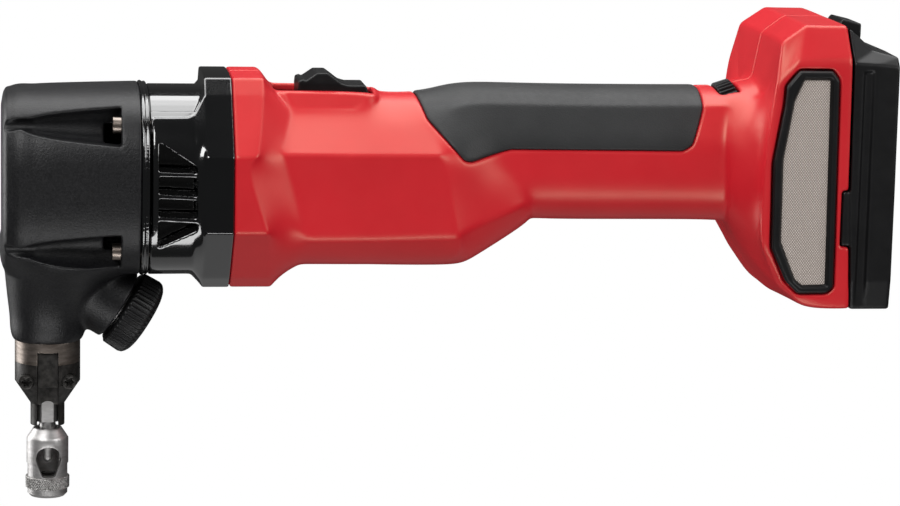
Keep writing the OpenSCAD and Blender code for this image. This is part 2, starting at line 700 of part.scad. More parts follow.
// ---------- battery interface ----------
function interface_ring(x, top, shoulder_y, shoulder_z) = [
    [x[0], 0, top], [x[0], 20, top], [x[0], shoulder_y, top - 0.4], [x[1], foot_half_w, shoulder_z],
    [x[2], foot_half_w + 0.5, 115], [x[3], foot_half_w + 0.5, 84], [x[4], foot_half_w - 1, foot_z + 0.6],
    [x[4], 20, foot_z], [x[4], 0, foot_z]
];
interface_front = interface_ring([277.2, 277.8, 278.2, 279.6, 280.2], 173.4, 32, 161);
INTERFACE_RINGS = [
    [for (p = drawn_in(interface_front, 6)) [280.4, p[1], p[2]]],
    interface_front,
    interface_ring([286, 286, 286, 286, 286], 165.2, 34.5, 160.5),
    interface_ring([rail_x, rail_x, rail_x, rail_x, rail_x], 163.2, 37, 159.5)
];
module battery_interface() color([0.12, 0.12, 0.13]) {
    difference() {
        union() {
            solid_loft([for (r = INTERFACE_RINGS) whole_loop(r)]);
            mirrored_y() block([276, 35.6, 96.3], [281.6, foot_half_w - 0.3, 115.7]);
        }
        block([284.5, -channel_half_w, foot_z - 1], [rail_x + 1, channel_half_w, 156]);
        mirrored_y() block([288.5, channel_half_w - 1, foot_z - 1], [291.3, channel_half_w + 4.4, 152]);
        mirrored_y() block([281.8, foot_half_w - 0.9, 70], [285.2, foot_half_w + 2, 158]);
        block([276, -35, 76], [282, 35, 159]);
        block([281, -15, 98], [286, 15, 136]);
    }
}
module rail_strips() color("silver") {
    mirrored_y() block([290.2, channel_half_w + 0.1, foot_z + 4], [291.2, channel_half_w + 4.3, 148]);
}
module terminal_block() color("black") {
    block([279.8, -17, 96], [282, 17, 138]);
    block([281.9, -15, 98], [286.4, 15, 136]);
}
module terminal_blades() color("gold") {
    for (y = [-12:6:12]) block([286.4, y - 0.5, 104], [290.5, y + 0.5, 118]);
}
module latch_block() color("black") {
    side_outline([[281.2, 170.1], [288.2, 167], [288.2, 171.6], [281.4, 173.2], [280, 171.4]], -9, 9);
    side_outline([[285.3, 166.2], [288.1, 165], [288.1, 167.5], [285.3, 168.7]], -9, 9);
}

// ---------- controls ----------
switch_profile = [
    [87, 143.6], [86.8, 147.6], [87, 149.9], [88.6, 150.4], [89.2, 149.8], [93.3, 152.6],
    [97.3, 152.6], [99.5, 151], [102.1, 149], [104.5, 148.3], [110.8, 148.3], [111.5, 146.2],
    [111.5, 143.6]
];
module switch_slider() color([0.2, 0.21, 0.22]) {
    side_outline(switch_profile, -8.9, 8.9);
    block([96, -4, 142.5], [104, 4, 143.7]);
}
module switch_rod() color("black") {
    block([96, -4, 140.4], [131, 4, 141.7]);
    block([97, -3.4, 141.6], [103, 3.4, 142.5]);
    block([129.2, -4, 136], [131, 4, 140.5]);
}
module switch_module() color("dimgray") {
    block([133, -9, 122], [143, 9, 137.5]);
    block([132, -3, 128], [133.1, 3, 134]);
}
module speed_dial() color("black") {
    translate(dial_at) rotate([0, dial_tilt, 0]) difference() {
        union() {
            cylinder(h = dial_w, r = dial_r - 0.5, center = true);
            for (a = [0:7.5:352.5]) rotate(a) translate([dial_r - 0.7, 0, 0])
                cylinder(h = dial_w - 1.2, r = 0.6, center = true);
        }
        cylinder(h = dial_w + 2, r = 3 + FIT, center = true);
    }
}
module dial_potentiometer() color("seagreen") {
    translate(dial_at) rotate([0, dial_tilt, 0]) {
        cylinder(h = dial_w + 1.4, r = 3, center = true);
        translate([0, 0, -dial_w / 2 - 3.6]) cylinder(h = 3, r = 6.5);
    }
}
module electronics_module() color("dimgray") {
    block([170, -13.5, 109.5], [220, 13.5, 126]);
    for (x = [178:12:214]) translate([x, 0, 126]) cylinder(h = 7, r = 4.2);
}
module heat_sink() color("silver") {
    block([172, -12, 107.6], [218, 12, 109.4]);
    for (y = [-10:4:10]) block([172, y - 0.6, 105.4], [218, y + 0.6, 107.7]);
}
module wire_leads() color("tomato") {
    for (y = [-9, 0, 9]) along_x(129, 40.9, 1.3, y, 118);
}

die_body();
die_collar();
die_insert();
punch();
punch_guide();
guide_clip();
die_carrier();
carrier_sleeve();
carrier_screws();
carrier_ring();
head_housing();
head_screws();
head_seal();
clamp_knob();
clamp_screw();
clamp_washer();
ram();
ram_bushing();
crank_shaft();
crank_roller();
crank_gear();
crank_bearing_front();
crank_bearing_rear();
bearing_plate();
motor_shaft();
rotor_core();
cooling_fan();
stator_core();
stator_winding();
motor_bearing_front();
motor_bearing_rear();
motor_end_cap();
fan_housing();
shell_near();
shell_far();
shell_screws();
grip_pad_near();
grip_pad_far();
filter_frame_near();
filter_frame_far();
filter_mesh_near();
filter_mesh_far();
battery_interface();
rail_strips();
terminal_block();
terminal_blades();
latch_block();
switch_slider();
switch_rod();
switch_module();
speed_dial();
dial_potentiometer();
electronics_module();
heat_sink();
wire_leads();
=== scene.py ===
"""Nibbler tool: the looks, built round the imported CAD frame.

The frame is in metres, +Z up, +X to the battery end.
The mouldings and castings are carved on distance fields in millimetres: a smooth skin is laid through a few
section rings, and pockets, slots and grooves are cut into it, with every edge a little rounded.
"""
import json
import math

import bmesh
import bpy
import numpy as np
import openvdb
from mathutils import Matrix, Vector


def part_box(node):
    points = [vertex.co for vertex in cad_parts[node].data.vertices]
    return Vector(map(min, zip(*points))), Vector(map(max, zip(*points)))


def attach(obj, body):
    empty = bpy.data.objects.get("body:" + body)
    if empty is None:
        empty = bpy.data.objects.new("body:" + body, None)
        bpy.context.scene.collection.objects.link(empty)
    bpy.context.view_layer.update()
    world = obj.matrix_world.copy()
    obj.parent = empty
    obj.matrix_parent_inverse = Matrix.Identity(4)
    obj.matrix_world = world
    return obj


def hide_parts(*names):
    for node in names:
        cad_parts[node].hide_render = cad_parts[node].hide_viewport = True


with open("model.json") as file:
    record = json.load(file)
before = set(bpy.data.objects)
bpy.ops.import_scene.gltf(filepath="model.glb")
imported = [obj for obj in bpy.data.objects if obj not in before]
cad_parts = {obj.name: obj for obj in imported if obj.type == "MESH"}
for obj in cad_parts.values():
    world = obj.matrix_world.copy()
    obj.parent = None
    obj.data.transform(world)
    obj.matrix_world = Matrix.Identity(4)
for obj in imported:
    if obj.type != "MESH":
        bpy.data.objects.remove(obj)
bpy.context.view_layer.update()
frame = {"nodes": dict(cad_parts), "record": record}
NODES = frame["nodes"]
BODY_OF = {n: b for b, ns in frame["record"]["behaviour"]["bodies"].items() for n in ns}
SLOT_OF = {s["node"]: s["material_slot"] for s in frame["record"]["subparts"]}
MM = 0.001


# ---------------------------------------------------------------- distance fields
class Volume:
    """A distance field in millimetres on an even grid. It is negative inside the material."""

    def __init__(self, low, high, step):
        self.step = step
        self.first = np.floor(np.array(low) / step).astype(int)
        self.count = np.ceil(np.array(high) / step).astype(int) - self.first + 1
        axes = [(self.first[i] + np.arange(self.count[i])) * step for i in range(3)]
        self.x = axes[0].astype(np.float32)[:, None, None]
        self.y = axes[1].astype(np.float32)[None, :, None]
        self.z = axes[2].astype(np.float32)[None, None, :]
        self.far = np.float32(8 * step)

    def of_mesh(self, points, triangles, quads=None):
        """Distance to a closed mesh, true to eight grid steps."""
        spacing = openvdb.createLinearTransform(voxelSize=self.step)
        grid = openvdb.FloatGrid.createLevelSetFromPolygons(
            np.array(points, np.float32), triangles=triangles, quads=quads, transform=spacing, halfWidth=8)
        field = np.empty(tuple(self.count), np.float32)
        grid.copyToArray(field, ijk=tuple(int(i) for i in self.first))
        return field

    def of_node(self, node):
        """Distance to a CAD node's surface."""
        made = bmesh.new()
        made.from_mesh(NODES[node].data)
        bmesh.ops.remove_doubles(made, verts=made.verts, dist=1e-6)
        bmesh.ops.triangulate(made, faces=made.faces)
        points = [v.co / MM for v in made.verts]
        corners = np.array([[v.index for v in f.verts] for f in made.faces], np.uint32)
        made.free()
        return self.of_mesh(points, corners)

    def prism(self, outline, soft=0.0):
        """A side outline in X and Z, running through in Y, with its corners rounded by soft steps."""
        u, w = self.x[:, 0, :], self.z[0, :, :]
        distance = polygon_distance(outline, u, w)
        for _ in range(int(soft)):
            distance = softened_once(distance, 0)
            distance = softened_once(distance, 1)
        return distance[:, None, :]

    def softened(self, field, passes):
        """The same form with its edges rounded by a few passes."""
        field = np.clip(field, -self.far, self.far)
        for _ in range(passes):
            for axis in range(3):
                field = softened_once(field, axis)
        return field

    def piece(self, field, name, faces=190000):
        """The field's surface as a mesh object."""
        band = np.float32(2.5 * self.step)
        grid = openvdb.FloatGrid(float(band))
        grid.transform = openvdb.createLinearTransform(voxelSize=self.step)
        grid.copyFromArray(np.clip(field, -band, band), ijk=tuple(int(i) for i in self.first), tolerance=0.0)
        points, quads = grid.convertToQuads(0.0)
        return mesh_piece(name, points * MM, quads[:, ::-1], faces)


def detail(step):
    """The grid step, as given."""
    return step


def softened_once(field, axis):
    """One pass of a small even blur along an axis."""
    out = field.copy()
    inner = [slice(None)] * field.ndim
    left = [slice(None)] * field.ndim
    right = [slice(None)] * field.ndim
    inner[axis], left[axis], right[axis] = slice(1, -1), slice(0, -2), slice(2, None)
    out[tuple(inner)] = (field[tuple(left)] + 2 * field[tuple(inner)] + field[tuple(right)]) / 4
    return out


def polygon_distance(outline, u, w):
    """Signed distance to a closed outline in a plane, negative inside."""
    nearest = np.full(np.broadcast(u, w).shape, 1e9, np.float32)
    inside = np.zeros(nearest.shape, bool)
    for (au, aw), (bu, bw) in zip(outline, outline[1:] + outline[:1]):
        eu, ew = bu - au, bw - aw
        along = np.clip(((u - au) * eu + (w - aw) * ew) / (eu * eu + ew * ew), 0, 1)
        nearest = np.minimum(nearest, np.hypot(u - au - along * eu, w - aw - along * ew))
        if aw != bw:
            inside ^= ((aw > w) != (bw > w)) & (u < eu * (w - aw) / ew + au)
    return np.where(inside, -nearest, nearest)


def both(a, b):
    return np.maximum(a, b)


def either(a, b):
    return np.minimum(a, b)


def less(a, b):
    return np.maximum(a, -b)


def blended(a, b, radius):
    """Both shapes, with a fillet of about that radius where they meet."""
    share = np.clip(0.5 + 0.5 * (b - a) / radius, 0, 1)
    return b * (1 - share) + a * share - radius * share * (1 - share)


def mesh_piece(name, points, quads, faces):
    """An object from arrays of points and quads, thinned to at most that many triangles."""
    mesh = bpy.data.meshes.new(name)
    mesh.vertices.add(len(points))
    mesh.vertices.foreach_set("co", np.ascontiguousarray(points, np.float32).ravel())
    mesh.loops.add(quads.size)
    mesh.loops.foreach_set("vertex_index", np.ascontiguousarray(quads, np.int32).ravel())
    mesh.polygons.add(len(quads))
    mesh.polygons.foreach_set("loop_start", np.arange(0, quads.size, 4, dtype=np.int32))
    mesh.update(calc_edges=True)
    piece = bpy.data.objects.new(name, mesh)
    bpy.context.scene.collection.objects.link(piece)
    if 2 * len(quads) > faces:
        thin = piece.modifiers.new("thin", "DECIMATE")
        thin.ratio = faces / (2 * len(quads))
        applied(piece)
    piece.data.shade_smooth()
    even_normals(piece)
    return piece


def even_normals(piece):
    """Large faces keep their own direction, so that flats stay flat beside rounded edges."""
    shade = piece.modifiers.new("shade", "WEIGHTED_NORMAL")
    shade.keep_sharp = False


def applied(piece):
    """Bakes the piece's modifiers into its mesh."""
    view = bpy.context.evaluated_depsgraph_get()
    old = piece.data
    piece.data = bpy.data.meshes.new_from_object(piece.evaluated_get(view))
    piece.modifiers.clear()
    bpy.data.meshes.remove(old)


# ---------------------------------------------------------------- smooth skins
def whole_ring(ring):
    """A half ring and its mirror image, as one closed ring."""
    return list(ring) + [(x, -y, z) for x, y, z in ring[-2:0:-1]]


def level_ring(x, half):
    """A half ring that lies square to the tool's length."""
    return [(x, y, z) for y, z in half]


FITTING_ROUNDS = 3
SKIN_LEVELS = 4


def skin(rings, ridges, lips):
    """A subdivided skin through closed half rings: its points and quads.

    A ridge is (column, first ring, last ring, sharpness) and runs along the rings' points.
    A lip is (ring, first column, last column, sharpness) and runs round a ring.
    """
    loops = [whole_ring(r) for r in rings]
    across = len(loops[0])
    net = bmesh.new()
    sharp = net.edges.layers.float.new("crease_edge")
    verts = [[net.verts.new(p) for p in loop] for loop in loops]
    for a, b in zip(verts, verts[1:]):
        for c in range(across):
            d = (c + 1) % across
            net.faces.new((a[c], b[c], b[d], a[d]))
    net.faces.new(verts[0])
    net.faces.new(verts[-1][::-1])

    def crease(a, b, value):
        edge = net.edges.get((a, b))
        edge[sharp] = max(edge[sharp], value)

    for column, first, last, value in ridges:
        for r in range(first, last):
            for c in {column, -column % across}:
                crease(verts[r][c], verts[r + 1][c], value)
    for ring, first, last, value in lips:
        for c in range(first, last):
            crease(verts[ring][c], verts[ring][c + 1], value)
            crease(verts[ring][-c % across], verts[ring][(-c - 1) % across], value)
    for ring in (0, len(verts) - 1):
        for c in range(across):
            crease(verts[ring][c], verts[ring][(c + 1) % across], 1.0)
    bmesh.ops.recalc_face_normals(net, faces=net.faces)
    mesh = bpy.data.meshes.new("net")
    net.to_mesh(mesh)
    net.free()
    target = np.array([p for loop in loops for p in loop], float)
    held = bpy.data.objects.new("net", mesh)
    bpy.context.scene.collection.objects.link(held)
    divide = held.modifiers.new("divide", "SUBSURF")
    divide.levels = 2
    control = target.copy()
    for _ in range(FITTING_ROUNDS):
        got = points_of(shown_mesh(held))[:len(target)]
        control += 0.8 * (target - got)
        mesh.vertices.foreach_set("co", control.astype(np.float32).ravel())
        mesh.update()
    divide.levels = SKIN_LEVELS
    smooth = shown_mesh(held)
    points = points_of(smooth)
    quads = np.empty(len(smooth.polygons) * 4, np.int32)
    smooth.polygons.foreach_get("vertices", quads)
    bpy.data.objects.remove(held)
    return points, quads.reshape(-1, 4).astype(np.uint32)


def shown_mesh(piece):
    view = bpy.context.evaluated_depsgraph_get()
    view.update()
    return bpy.data.meshes.new_from_object(piece.evaluated_get(view))


def points_of(mesh):
    points = np.empty(len(mesh.vertices) * 3, np.float32)
    mesh.vertices.foreach_get("co", points)
    return points.reshape(-1, 3).astype(float)


# ---------------------------------------------------------------- the housing's section rings, in millimetres
MIDDLE = Vector((0.14, 0, 0.1))
MOTOR_Z = 114.6
MOTOR_BORE = 30.7
CRANK_Z = 97
CRANK_BORE = 14.2
SLEEVE_BORE = 9.05
CLAMP_BORE = 3.6
SCREW_BORE = 2.2
COLLAR_HALF = [(0, 152.5), (17, 151.8), (22, 146.4), (37.5, 127), (37.5, 114), (37.5, 100.5), (19, 82),
               (13, 77.4), (0, 77)]
GRIP_HALF = [(0, 147.9), (10, 146.6), (18, 142.6), (23, 132), (23.5, 122), (22.5, 110.5), (15, 102.5),
             (7, 100.9), (0, 100.7)]
FOOT_HALF = [(0, 173.4), (20, 173.4), (32, 173), (39.5, 161), (40, 115), (40, 80), (38.5, 74), (20, 73),
             (0, 73)]
SHELL_RINGS = [
    level_ring(55, COLLAR_HALF),
    level_ring(63, COLLAR_HALF),
    [(74.1, 0, 152.5), (74, 17, 151.8), (73.6, 22, 146.4), (71, 37.5, 127), (68.1, 37.5, 121),
     (74.9, 37.5, 100.5), (76.5, 19, 82), (77.7, 13, 77.4), (77.7, 0, 77)],
    [(78.6, 0, 147.4), (79.4, 13, 146.4), (84.2, 17, 139.5), (80.5, 31, 127), (83.6, 31, 117),
     (89, 31, 97.6), (88.2, 21, 87.4), (87.6, 10, 85.8), (87.6, 0, 85.6)],
    [(112, 0, 147.2), (110.5, 13, 145.6), (106, 17, 139.5), (106, 31, 126.8), (108, 31, 117),
     (110, 31, 97.6), (110, 21, 87.4), (110, 10, 85.8), (110, 0, 85.6)],
    [(115.5, 0, 145.2), (115, 10, 143.6), (113, 20, 136.8), (113, 31, 126.8), (113, 31, 117),
     (114, 31, 97.6), (114, 21, 87.4), (114, 10, 85.8), (114, 0, 85.6)],
    [(128, 0, 145), (128, 10, 143.4), (131, 20, 136.8), (134.5, 31, 126.8), (137, 31, 117),
     (141, 31, 98.5), (140, 21, 87.4), (139, 10, 85.8), (139, 0, 85.6)],
    [(137, 0, 146.6), (137, 10, 144.8), (139, 19, 140.5), (143.5, 28, 129), (147, 28.5, 118.5),
     (151, 27, 103), (150.5, 18.5, 90.6), (150, 9, 88.8), (150, 0, 88.6)],
    [(149, 0, 148.4), (149, 10, 146.8), (150, 18, 143), (153, 24, 132), (157, 24.5, 121),
     (168, 23.5, 109.5), (169, 15, 101.3), (169, 7, 99.9), (169, 0, 99.7)],
    level_ring(177, GRIP_HALF),
    level_ring(229, GRIP_HALF),
    [(238.5, 0, 148.6), (238.5, 10, 147.2), (238.5, 18.5, 143), (237, 25, 132), (237, 26, 122),
     (238, 25, 109), (240, 16, 101.6), (241.3, 8, 99.6), (241.3, 0, 99.4)],
    [(250.5, 0, 151), (250.5, 12, 150), (250.5, 22, 147.5), (247.5, 31.5, 138), (245, 33.5, 122),
     (245, 32, 104), (246.5, 20, 91.5), (247, 9, 89.5), (247, 0, 89.3)],
    [(254, 0, 167.2), (254, 16, 167.2), (253.4, 33, 166.6), (250.8, 38.2, 152), (247.8, 39, 124),
     (247.6, 39, 97), (254.5, 35, 82), (256, 18, 77.2), (256, 0, 77)],
    [(262, 0, 173.4), (262, 20, 173.4), (262, 32, 173), (258, 39.2, 160), (254, 40, 118), (254, 40, 92),
     (261, 38.5, 76.5), (264, 20, 73.4), (264, 0, 73.4)],
    level_ring(268, FOOT_HALF),
    level_ring(284, FOOT_HALF),
    level_ring(292, FOOT_HALF),
]
SHELL_RIDGES = [
    (1, 0, 2, 1.0), (2, 0, 2, 1.0), (3, 0, 2, 1.0), (5, 0, 2, 1.0), (6, 0, 2, 0.9), (7, 0, 2, 1.0),
    (3, 3, 6, 1.0), (5, 3, 6, 0.9), (2, 2, 7, 0.35), (2, 7, 11, 0.75), (1, 3, 5, 0.5),
    (2, 14, 17, 0.9), (3, 14, 17, 0.9), (6, 14, 17, 0.7), (3, 13, 14, 0.8), (5, 6, 8, 0.6), (2, 12, 14, 0.8),
    (6, 12, 14, 0.5), (4, 13, 14, 0.4), (5, 13, 14, 0.5),
]
SHELL_LIPS = [
    (2, 0, 8, 1.0), (3, 0, 8, 0.85), (6, 2, 6, 0.75), (11, 5, 8, 0.6), (12, 0, 2, 0.5), (13, 0, 8, 0.85),
    (14, 0, 3, 0.9), (14, 5, 8, 0.7),
]
PAD_OUTLINE = [(127.6, 153), (128.6, 145.4), (131.5, 137.5), (143.5, 124.4), (146.2, 124), (160, 127.9),
               (222, 127.4), (225.2, 129.4), (229.6, 142), (231, 153)]
FRAME_OUTLINE = [(258.6, 158.4), (270.6, 158.4), (273.2, 155), (274, 81.6), (271.4, 79.3), (260.9, 79.3),
                 (256.4, 83.8), (250.8, 95.8), (250.4, 125.7), (253.8, 146.3), (254.2, 153)]
MESH_OUTLINE = [(260.6, 154.9), (269.8, 154.9), (270.8, 82.6), (262.5, 82.4), (259.9, 84.6), (254.4, 97.9),
                (254.1, 126.8), (257.4, 147.6)]
NOTCH_OUTLINE = [(275.6, 96), (281.5, 96), (281.5, 116), (275.6, 116)]
SCOOP_OUTLINE = [(80.2, 148), (84.4, 140.9), (105.9, 140.9), (112.4, 144.8), (112.4, 148)]
SHELL_FRONT = 63
SEAM = 0.03
WALL = 2.5
PAD = 1.4
SCREW_PLACES = [(70, 83.5, 18), (70, 146, 18), (148, 128.5, 20), (152, 101, 22), (231, 107, 17),
                (232.5, 141, 16), (262, 80.5, 37), (264, 166, 35)]
DIAL_PLACE = np.array([244.9, 0, 133.6])
DIAL_TILT = math.radians(72)


def rear_edge(z):
    """Where the red shells end, from the bottom up."""
    return np.interp(z, [74, 84, 115, 161, 173.4], [280, 279.4, 278, 277.6, 277]).astype(np.float32)


def dial_slot(volume, radius, half_width):
    """A disc on the speed dial's axis."""
    axis = np.array([math.sin(DIAL_TILT), 0, math.cos(DIAL_TILT)])
    dx, dy, dz = (volume.x - DIAL_PLACE[0], volume.y, volume.z - DIAL_PLACE[2])
    along = dx * axis[0] + dz * axis[2]
    out = np.sqrt(np.maximum(dx * dx + dy * dy + dz * dz - along * along, 0))
    return both(out - radius, np.abs(along) - half_width)


def housing():
    """Both red shells and both grip pads, carved from one skin."""
    points, quads = skin(SHELL_RINGS, SHELL_RIDGES, SHELL_LIPS)
    volume = Volume((61, -2, 71), (283, 42, 176), detail(0.5))
    surface = volume.of_mesh(points, None, quads)
    x, y, z = volume.x, volume.y, volume.z
    pad_zone = volume.prism(PAD_OUTLINE, 2)
    scoop = both(volume.prism(SCOOP_OUTLINE, 3), 12.4 - (z - 146.6) * 0.55 - y)
    outside = less(surface, scoop)
    form = less(outside, both(both(-(surface + PAD), pad_zone - 0.1), -y - 5))
    form = less(form, both(both(np.abs(x - 95.85) - 17.35, y - 9.4), 135 - z))
    form = less(form, dial_slot(volume, 17.6, 3.7))
    form = less(form, both(volume.prism(FRAME_OUTLINE, 2) - 0.2, 35.5 - y))
    form = less(form, both(volume.prism(NOTCH_OUTLINE), 20 - y))
    form = both(form, SHELL_FRONT + 0.05 - x)
    form = both(form, x - rear_edge(z))
    behind_frame = both(volume.prism(FRAME_OUTLINE, 2) - 2, 33.4 - y)
    hollow = less(outside + WALL, behind_frame)
    pad = volume.softened(both(surface - 0.25, pad_zone + 0.05), 2)
    pad = both(both(pad, -(surface + PAD - 0.1)), SEAM - y)
    for side in ("near", "far"):
        red = form
        if side == "far":
            for sx, sz, depth in SCREW_PLACES:
                red = less(red, both(np.hypot(x - sx, z - sz) - 3.9, depth - 4 - y))
        red = both(less(volume.softened(red, 2), hollow), SEAM - y)
        for sx, sz, depth in SCREW_PLACES:
            out = np.hypot(x - sx, z - sz)
            post = both(both(both(out - 4.2, y - depth), surface + 1), SEAM - y)
            red = less(either(red, less(post, dial_slot(volume, 17.6, 3.7))),
                       both(out - 1.95, y - depth + (0 if side == "far" else 4)))
        if side == "far":
            for sx, sz, depth in SCREW_PLACES:
                red = less(red, both(np.hypot(x - sx, z - sz) - 3.9, depth - 4 - y))
        for field, node in ((red, "shell_" + side), (pad, "grip_pad_" + side)):
            piece = volume.piece(field, node + "_moulding")
            if side == "near":
                mirrored(piece)
            stand_for(piece, node)


def mirrored(piece):
    """Turns a far-side piece into its near-side twin."""
    piece.data.transform(Matrix.Scale(-1, 4, (0, 1, 0)))
    piece.data.flip_normals()


# ---------------------------------------------------------------- gearbox head
def squircle(w, h, n, steps):
    """A closed superellipse of half width w and half height h, from the top."""
    made = []
    for i in range(steps):
        a = 2 * math.pi * i / steps
        s, c = math.sin(a), math.cos(a)
        made.append((w * math.copysign(abs(s) ** (2 / n), s), h * math.copysign(abs(c) ** (2 / n), c)))
    return made


def smooth_stations(stations, steps):
    """Rows interpolated along their first column by a monotone curve."""
    rows = np.array(stations, float)
    t = rows[:, 0]
    slope = np.diff(rows, axis=0) / np.diff(t)[:, None]
    tangent = np.vstack([slope[:1], (slope[1:] + slope[:-1]) / 2, slope[-1:]])
    turns = np.vstack([slope[:1] * 0 + 1, slope[1:] * slope[:-1], slope[:1] * 0 + 1])
    tangent = np.where(turns > 0, tangent, 0)
    at = np.interp(np.linspace(0, len(t) - 1, steps), np.arange(len(t)), t)
    made = []
    for v in at:
        i = int(np.clip(np.searchsorted(t, v) - 1, 0, len(t) - 2))
        d = t[i + 1] - t[i]
        s = (v - t[i]) / d
        made.append((2 * s**3 - 3 * s**2 + 1) * rows[i] + (s**3 - 2 * s**2 + s) * d * tangent[i]
                    + (3 * s**2 - 2 * s**3) * rows[i + 1] + (s**3 - s**2) * d * tangent[i + 1])
    return made


def closed_loft(loops, ring=False):
    """Points and triangles of a solid through loops of points, with capped ends or bent round into a ring."""
    n = len(loops[0])
    points = [tuple(p) for loop in loops for p in loop]
    faces = []
    for r in range(len(loops) if ring else len(loops) - 1):
        low, high = r * n, (r + 1) % len(loops) * n
        for c in range(n):
            d = (c + 1) % n
            faces += [(low + c, high + c, low + d), (low + d, high + c, high + d)]
    if not ring:
        last = (len(loops) - 1) * n
        points += [tuple(np.mean(np.array(loops[i], float), axis=0)) for i in (0, -1)]
        for c in range(n):
            d = (c + 1) % n
            faces += [(len(points) - 2, c, d), (len(points) - 1, last + d, last + c)]
    return np.array(points, np.float32), np.array(faces, np.uint32)


# x, half width, bottom, top
HEAD_STATIONS = [(-16, 25, 90, 139.5), (-15.2, 29, 86, 143.6), (-12.8, 32, 84, 145.5), (-4, 34, 83, 146.3),
                 (12, 35.2, 82.4, 146.9), (31.5, 36, 81.8, 147.4)]
# z, front, rear, half width
NOSE_STATIONS = [(57, -11.8, 11.8, 11.8), (58.6, -12.5, 12.6, 12.5), (66, -13.2, 14.2, 14.4),
                 (73, -14, 17.5, 18), (80, -14.7, 23, 23.5), (86, -15.2, 28, 29), (92, -15.4, 30, 32)]
HEAD_REAR = 31.5
HEAD_SCREWS = [(27.5, 92.7), (27.5, 136.5)]
KNOB_PLACE = np.array([25.9, 0, 68.4])
KNOB_TILT = math.radians(122.2)
KNOB_AXIS = np.array([math.sin(KNOB_TILT), 0, math.cos(KNOB_TILT)])


def on_knob_axis(volume):
    """Distance along the knob's axis from its foot, and out from the axis."""
    dx, dz = volume.x - KNOB_PLACE[0], volume.z - KNOB_PLACE[2]
    along = dx * KNOB_AXIS[0] + dz * KNOB_AXIS[2]
    out = np.sqrt(np.maximum(dx * dx + volume.y ** 2 + dz * dz - along * along, 0))
    return along, out


FLUTE_TIP = -9.4
FLUTE_END = 24.6
FLUTE_RADIUS = 6.6
FLUTE_AXIS = 28.4


def head_flute(volume, z):
    """A bullet-shaped channel that runs back to a screw and deepens as it widens."""
    share = (volume.x - FLUTE_TIP) / (FLUTE_END - FLUTE_TIP)
    width = FLUTE_RADIUS * np.clip(share, 0, 1) ** 0.4 + 40 * np.minimum(share, 0)
    inward = np.minimum(np.abs(volume.y) - FLUTE_AXIS, 0)
    channel = np.sqrt(inward * inward + (volume.z - z) ** 2) - width
    return both(channel, volume.x - FLUTE_END)


def head():
    volume = Volume((-18, -38, 55), (34, 38, 150), detail(0.4))
    x, y, z = volume.x, volume.y, volume.z
    block = volume.of_mesh(*closed_loft([
        [(s[0], py, (s[2] + s[3]) / 2 + pz) for py, pz in squircle(s[1], (s[3] - s[2]) / 2, 2.9, 96)]
        for s in smooth_stations(HEAD_STATIONS, 48)]))
    nose = volume.of_mesh(*closed_loft([
        [((s[1] + s[2]) / 2 + px, py, s[0]) for px, py in squircle((s[2] - s[1]) / 2, s[3], 2.1, 96)]
        for s in smooth_stations(NOSE_STATIONS, 40)]))
    body = blended(block, nose, 5)
    along, out = on_knob_axis(volume)
    boss = both(out - 13.1, both(along + 1, -26 - along))
    body = blended(body, boss, 1.6)
    body = less(body, both(both(np.abs(y) - 22, 95 - z), both(19 - x, z - 133)))
    body = less(body, both(both(np.abs(y) - 21, 92 - z), both(np.abs(x + 1.25) - 9.75, z - 133)))
    body = less(body, both(np.hypot(y, z - CRANK_Z) - CRANK_BORE, 9 - x))
    body = less(body, both(np.hypot(y, z - MOTOR_Z) - MOTOR_BORE, 19 - x))
    body = less(body, both(np.hypot(x, y) - SLEEVE_BORE, z - 80.2))
    body = less(body, both(out - CLAMP_BORE, -30 - along))
    for sy, sz in HEAD_SCREWS:
        body = less(body, head_flute(volume, sz))
        body = less(body, np.hypot(np.abs(y) - sy, z - sz) - SCREW_BORE)
    body = volume.softened(both(body, x - HEAD_REAR), 2)
    stand_for(volume.piece(body, "head_casting"), "head_housing")


# ---------------------------------------------------------------- fan housing
FLANGE_HALF = [(0, 147.4), (15, 146.7), (27.8, 141.6), (35, 130.1), (36, MOTOR_Z), (35, 99.1), (27.8, 87.6),
               (15, 82.5), (0, 81.8)]
FAN_RINGS = [level_ring(30, FLANGE_HALF), level_ring(34.5, FLANGE_HALF), level_ring(49, FLANGE_HALF),
             level_ring(53.6, COLLAR_HALF), level_ring(63, COLLAR_HALF), level_ring(68, COLLAR_HALF)]
FAN_RIDGES = [(1, 3, 5, 1.0), (2, 2, 5, 1.0), (3, 3, 5, 1.0), (5, 3, 5, 1.0), (6, 3, 5, 0.9), (7, 3, 5, 1.0)]
FAN_LIPS = [(2, 0, 8, 0.8), (3, 0, 8, 1.0)]
SIDE_PANEL = [(35.2, 139.6), (47.4, 139.6), (49.6, 140.6), (53.2, 146.2), (54.4, 146.6), (66, 146.6),
              (66, 70), (35.2, 70)]
VENTS = [
    [(37.4, 131.6), (50.4, 123.1), (50.4, 121.2), (37.4, 121.6)],
    [(37.4, 119.8), (50.4, 119.6), (50.4, 113.2), (37.4, 114.0)],
    [(37.4, 112.2), (50.4, 111.6), (50.4, 105.6), (37.4, 106.0)],
    [(37.4, 104.4), (50.4, 103.6), (50.4, 101.4), (37.4, 95.1)],
]


